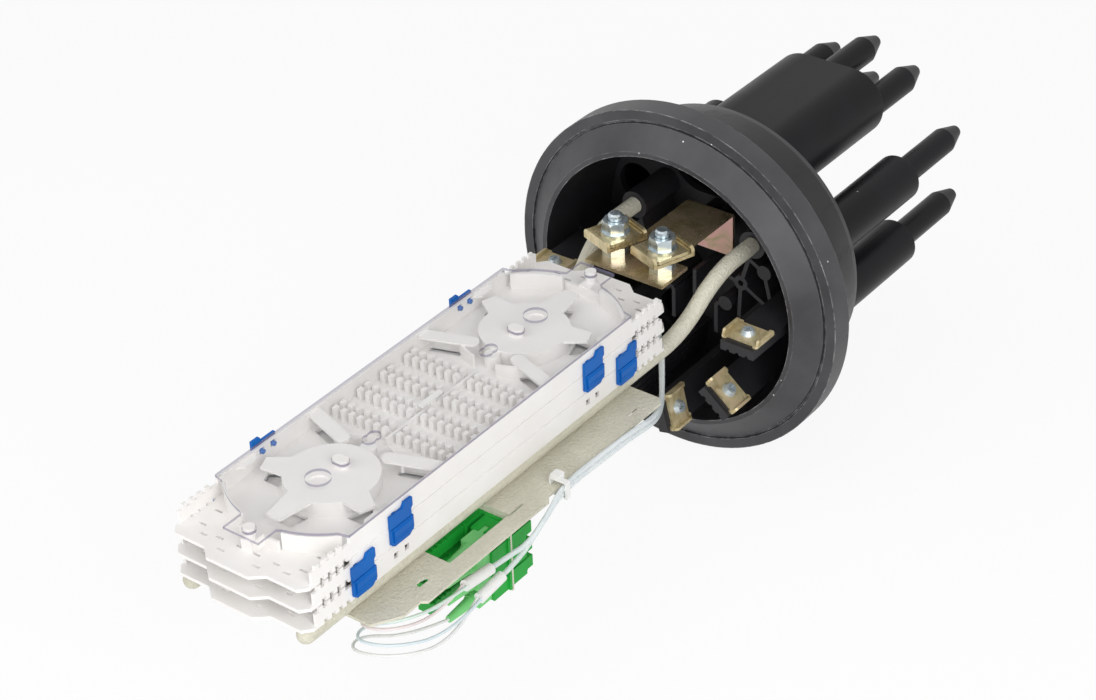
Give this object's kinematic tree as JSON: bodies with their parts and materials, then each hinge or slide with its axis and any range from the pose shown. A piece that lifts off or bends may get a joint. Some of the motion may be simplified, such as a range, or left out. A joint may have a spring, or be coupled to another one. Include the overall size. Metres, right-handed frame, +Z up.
{
  "type": "fibre splice closure",
  "caption": "Dome fibre splice closure with the dome off: black ported base, bent carrier rods with stacked splice trays, adapter panel, cable clamps and fibre tubes.",
  "frame": {"origin": "on the closure axis in the plane of the flange face", "axes": "+X along the axis out of the mouth towards the trays' free end, +Z up from the trays, +Y to the adapter side"},
  "size_m": [0.574, 0.21, 0.21],
  "materials": {
    "black_plastic": "satin moulded polypropylene",
    "beige_paint": "fine textured powder coat",
    "yellow_zinc": "yellow passivated zinc",
    "bright_zinc": "bright zinc",
    "white_plastic": "satin moulded",
    "clear_plastic": "clear sheet",
    "blue_plastic": "satin moulded",
    "green_plastic": "satin moulded",
    "fibre_tube": "translucent"
  },
  "bodies": {
    "closure": {"base_housing": "black_plastic", "base_plate": "black_plastic", "base_webs": "black_plastic", "round_ports": "black_plastic", "oval_port": "black_plastic", "clamp_posts": "black_plastic", "rod_far": "beige_paint", "rod_near": "beige_paint", "adapter_panel": "beige_paint", "strength_bracket": "yellow_zinc", "clamp_channel_near": "yellow_zinc", "clamp_channel_far": "yellow_zinc", "yarn_clamp_near_1": "yellow_zinc", "yarn_clamp_near_2": "yellow_zinc", "yarn_clamp_near_3": "yellow_zinc", "yarn_clamp_far_1": "yellow_zinc", "yarn_clamp_far_2": "yellow_zinc", "yarn_clamp_far_3": "yellow_zinc", "bracket_screws": "bright_zinc", "yarn_clamp_screws": "bright_zinc", "clamp_stud_near": "bright_zinc", "clamp_stud_far": "bright_zinc", "tray_bottom": "white_plastic", "tray_middle": "white_plastic", "tray_top": "white_plastic", "sleeve_a": "white_plastic", "sleeve_b": "white_plastic", "cable_tie": "white_plastic", "adapter_near_1": "green_plastic", "adapter_near_2": "green_plastic", "adapter_near_3": "green_plastic", "adapter_near_4": "green_plastic", "adapter_far_1": "green_plastic", "adapter_far_2": "green_plastic", "adapter_far_3": "green_plastic", "adapter_far_4": "green_plastic", "adapter_caps": "green_plastic", "plug_1": "green_plastic", "plug_2": "green_plastic", "plug_3": "green_plastic", "plug_4": "green_plastic", "buffer_tube_a": "fibre_tube", "buffer_tube_b": "fibre_tube", "pigtail_1": "fibre_tube", "pigtail_2": "fibre_tube", "pigtail_3": "fibre_tube", "pigtail_4": "fibre_tube"},
    "cover": {"tray_cover": "clear_plastic"},
    "link_lower_rear_near_body": {"link_lower_rear_near": "blue_plastic"},
    "link_lower_rear_far_body": {"link_lower_rear_far": "blue_plastic"},
    "link_lower_front_near_body": {"link_lower_front_near": "blue_plastic"},
    "link_lower_front_far_body": {"link_lower_front_far": "blue_plastic"},
    "link_upper_rear_near_body": {"link_upper_rear_near": "blue_plastic"},
    "link_upper_rear_far_body": {"link_upper_rear_far": "blue_plastic"},
    "link_upper_front_near_body": {"link_upper_front_near": "blue_plastic"},
    "link_upper_front_far_body": {"link_upper_front_far": "blue_plastic"},
    "clamp_near_top": {"clamp_plate_near": "yellow_zinc", "clamp_nut_near": "bright_zinc"},
    "clamp_far_top": {"clamp_plate_far": "yellow_zinc", "clamp_nut_far": "bright_zinc"}
  },
  "joints": [
    {"name": "cover_lift", "type": "slide", "parent": "closure", "child": "cover", "axis": [0, 0, 1], "range_m": [0, 0.03]},
    {"name": "link_lower_rear_near_pull", "type": "slide", "parent": "closure", "child": "link_lower_rear_near_body", "axis": [0, 1, 0], "range_m": [0, 0.007]},
    {"name": "link_lower_rear_far_pull", "type": "slide", "parent": "closure", "child": "link_lower_rear_far_body", "axis": [0, -1, 0], "range_m": [0, 0.007]},
    {"name": "link_lower_front_near_pull", "type": "slide", "parent": "closure", "child": "link_lower_front_near_body", "axis": [0, 1, 0], "range_m": [0, 0.007]},
    {"name": "link_lower_front_far_pull", "type": "slide", "parent": "closure", "child": "link_lower_front_far_body", "axis": [0, -1, 0], "range_m": [0, 0.007]},
    {"name": "link_upper_rear_near_pull", "type": "slide", "parent": "closure", "child": "link_upper_rear_near_body", "axis": [0, 1, 0], "range_m": [0, 0.007]},
    {"name": "link_upper_rear_far_pull", "type": "slide", "parent": "closure", "child": "link_upper_rear_far_body", "axis": [0, -1, 0], "range_m": [0, 0.007]},
    {"name": "link_upper_front_near_pull", "type": "slide", "parent": "closure", "child": "link_upper_front_near_body", "axis": [0, 1, 0], "range_m": [0, 0.007]},
    {"name": "link_upper_front_far_pull", "type": "slide", "parent": "closure", "child": "link_upper_front_far_body", "axis": [0, -1, 0], "range_m": [0, 0.007]},
    {"name": "clamp_near_rise", "type": "slide", "parent": "closure", "child": "clamp_near_top", "axis": [0, 0, 1], "range_m": [0, 0.0035]},
    {"name": "clamp_far_rise", "type": "slide", "parent": "closure", "child": "clamp_far_top", "axis": [0, 0, 1], "range_m": [0, 0.0035]}
  ]
}
